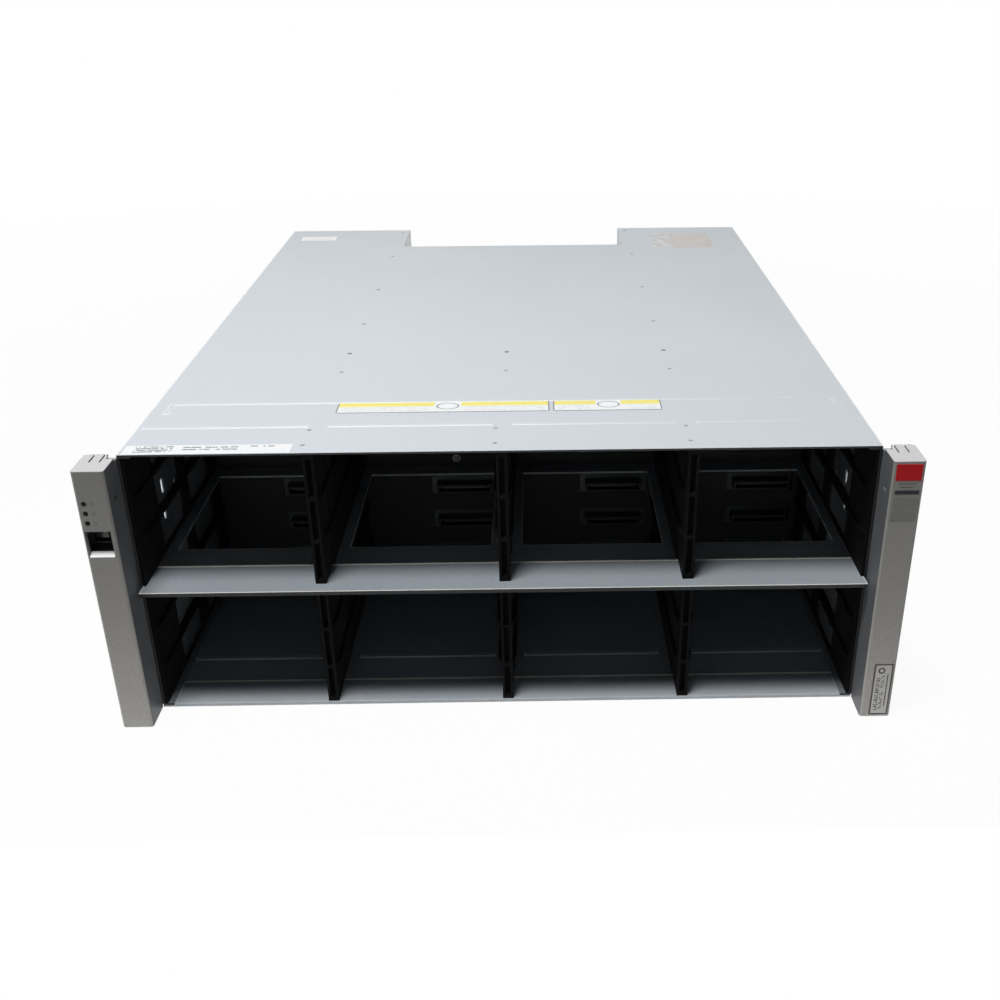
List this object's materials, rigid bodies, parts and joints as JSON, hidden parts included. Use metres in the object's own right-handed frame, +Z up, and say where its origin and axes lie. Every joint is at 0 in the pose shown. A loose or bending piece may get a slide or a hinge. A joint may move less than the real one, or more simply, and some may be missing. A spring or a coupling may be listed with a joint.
{
  "type": "disk shelf enclosure",
  "caption": "Empty rack enclosure for disk drives: open drive bays in front, a middle shelf, end caps, and power and data modules behind.",
  "frame": {"origin": "midway between the side walls, on the plane of the rack posts (the rear faces of the rack ears), at the height of the chassis underside", "axes": "+X to the right seen from the front, +Y to the rear, +Z up"},
  "size_m": [0.4826, 0.6229, 0.1758],
  "materials": {
    "cover_paint": "satin, fine speckle",
    "deck_paint": "satin",
    "guide_plastic": "fine grain",
    "frame_steel": "matt",
    "board_green": "solder mask",
    "connector_black": "moulded",
    "galvanised_steel": "zinc, satin",
    "fan_plastic": "moulded",
    "inlet_plastic": "moulded",
    "rocker_plastic": "smooth",
    "lever_plastic": "moulded",
    "port_metal": "nickel plate",
    "cap_silver": "silver paint",
    "lamp_plastic": "smoked",
    "display_window": "smooth",
    "button_plastic": "moulded",
    "tag_plastic": "smooth"
  },
  "bodies": {
    "chassis": {"bottom_pan": "deck_paint", "left_side_wall": "cover_paint", "right_side_wall": "cover_paint", "top_cover": "cover_paint", "mid_shelf": "deck_paint", "left_rack_ear": "cover_paint", "right_rack_ear": "cover_paint", "upper_left_divider": "guide_plastic", "upper_middle_divider": "guide_plastic", "upper_right_divider": "guide_plastic", "upper_left_guide": "guide_plastic", "upper_right_guide": "guide_plastic", "lower_left_divider": "guide_plastic", "lower_middle_divider": "guide_plastic", "lower_right_divider": "guide_plastic", "lower_left_guide": "guide_plastic", "lower_right_guide": "guide_plastic", "midplane_frame": "frame_steel", "midplane_board": "board_green", "drive_connectors": "connector_black", "module_connectors": "connector_black", "left_partition": "galvanised_steel", "right_partition": "galvanised_steel", "power_bay_shelves": "galvanised_steel", "io_bay_rails": "galvanised_steel", "power_bay_blanks": "galvanised_steel", "io_bay_blanks": "galvanised_steel", "indicator_board": "board_green", "id_display": "display_window"},
    "left_cap": {"left_end_cap": "cap_silver", "light_pipes": "lamp_plastic"},
    "right_cap": {"right_end_cap": "cap_silver", "tag_frame": "tag_plastic"},
    "button": {"id_button": "button_plastic"},
    "left_power": {"left_power_case": "galvanised_steel", "left_power_faceplate": "galvanised_steel", "left_power_fan_frame": "fan_plastic", "left_power_inlet": "inlet_plastic"},
    "left_power_fan": {"left_power_fan_rotor": "fan_plastic"},
    "left_power_switch": {"left_power_rocker": "rocker_plastic"},
    "left_power_handle": {"left_power_lever": "lever_plastic"},
    "right_power": {"right_power_case": "galvanised_steel", "right_power_faceplate": "galvanised_steel", "right_power_fan_frame": "fan_plastic", "right_power_inlet": "inlet_plastic"},
    "right_power_fan": {"right_power_fan_rotor": "fan_plastic"},
    "right_power_switch": {"right_power_rocker": "rocker_plastic"},
    "right_power_handle": {"right_power_lever": "lever_plastic"},
    "lower_io": {"lower_io_case": "galvanised_steel", "lower_io_faceplate": "galvanised_steel", "lower_io_ports": "port_metal"},
    "lower_io_left_ejector": {"lower_io_left_lever": "lever_plastic"},
    "lower_io_right_ejector": {"lower_io_right_lever": "lever_plastic"},
    "upper_io": {"upper_io_case": "galvanised_steel", "upper_io_faceplate": "galvanised_steel", "upper_io_ports": "port_metal"},
    "upper_io_left_ejector": {"upper_io_left_lever": "lever_plastic"},
    "upper_io_right_ejector": {"upper_io_right_lever": "lever_plastic"}
  },
  "joints": [
    {"name": "left_cap_pull", "type": "slide", "parent": "chassis", "child": "left_cap", "axis": [0, -1, 0], "range_m": [0, 0.06]},
    {"name": "right_cap_pull", "type": "slide", "parent": "chassis", "child": "right_cap", "axis": [0, -1, 0], "range_m": [0, 0.06]},
    {"name": "id_button_press", "type": "slide", "parent": "chassis", "child": "button", "axis": [0, 1, 0], "range_m": [0, 0.0015], "stiffness_N_per_m": 400},
    {"name": "left_power_slide", "type": "slide", "parent": "chassis", "child": "left_power", "axis": [0, 1, 0], "range_m": [0, 0.36]},
    {"name": "left_power_fan_spin", "type": "hinge", "parent": "left_power", "child": "left_power_fan", "pos_m": [-0.18287, 0.568, 0.05265], "axis": [0, 1, 0], "continuous": true},
    {"name": "left_power_switch_tip", "type": "hinge", "parent": "left_power", "child": "left_power_switch", "pos_m": [-0.12973, 0.5785, 0.03965], "axis": [1, 0, 0], "range_deg": [-16, 0]},
    {"name": "left_power_lever_swing", "type": "hinge", "parent": "left_power", "child": "left_power_handle", "pos_m": [-0.1141, 0.594, 0.0133], "axis": [0, 0, -1], "range_deg": [0, 75]},
    {"name": "right_power_slide", "type": "slide", "parent": "chassis", "child": "right_power", "axis": [0, 1, 0], "range_m": [0, 0.36]},
    {"name": "right_power_fan_spin", "type": "hinge", "parent": "right_power", "child": "right_power_fan", "pos_m": [0.14423, 0.568, 0.05265], "axis": [0, 1, 0], "continuous": true},
    {"name": "right_power_switch_tip", "type": "hinge", "parent": "right_power", "child": "right_power_switch", "pos_m": [0.19737, 0.5785, 0.03965], "axis": [1, 0, 0], "range_deg": [-16, 0]},
    {"name": "right_power_lever_swing", "type": "hinge", "parent": "right_power", "child": "right_power_handle", "pos_m": [0.213, 0.594, 0.0133], "axis": [0, 0, -1], "range_deg": [0, 75]},
    {"name": "lower_io_slide", "type": "slide", "parent": "chassis", "child": "lower_io", "axis": [0, 1, 0], "range_m": [0, 0.29]},
    {"name": "lower_io_left_lever_swing", "type": "hinge", "parent": "lower_io", "child": "lower_io_left_ejector", "pos_m": [-0.0976, 0.519, 0.0102], "axis": [0, 0, 1], "range_deg": [0, 65]},
    {"name": "lower_io_right_lever_swing", "type": "hinge", "parent": "lower_io", "child": "lower_io_right_ejector", "pos_m": [0.0976, 0.519, 0.0102], "axis": [0, 0, -1], "range_deg": [0, 65]},
    {"name": "upper_io_slide", "type": "slide", "parent": "chassis", "child": "upper_io", "axis": [0, 1, 0], "range_m": [0, 0.29]},
    {"name": "upper_io_left_lever_swing", "type": "hinge", "parent": "upper_io", "child": "upper_io_left_ejector", "pos_m": [-0.0976, 0.519, 0.13987], "axis": [0, 0, 1], "range_deg": [0, 65]},
    {"name": "upper_io_right_lever_swing", "type": "hinge", "parent": "upper_io", "child": "upper_io_right_ejector", "pos_m": [0.0976, 0.519, 0.13987], "axis": [0, 0, -1], "range_deg": [0, 65]}
  ]
}
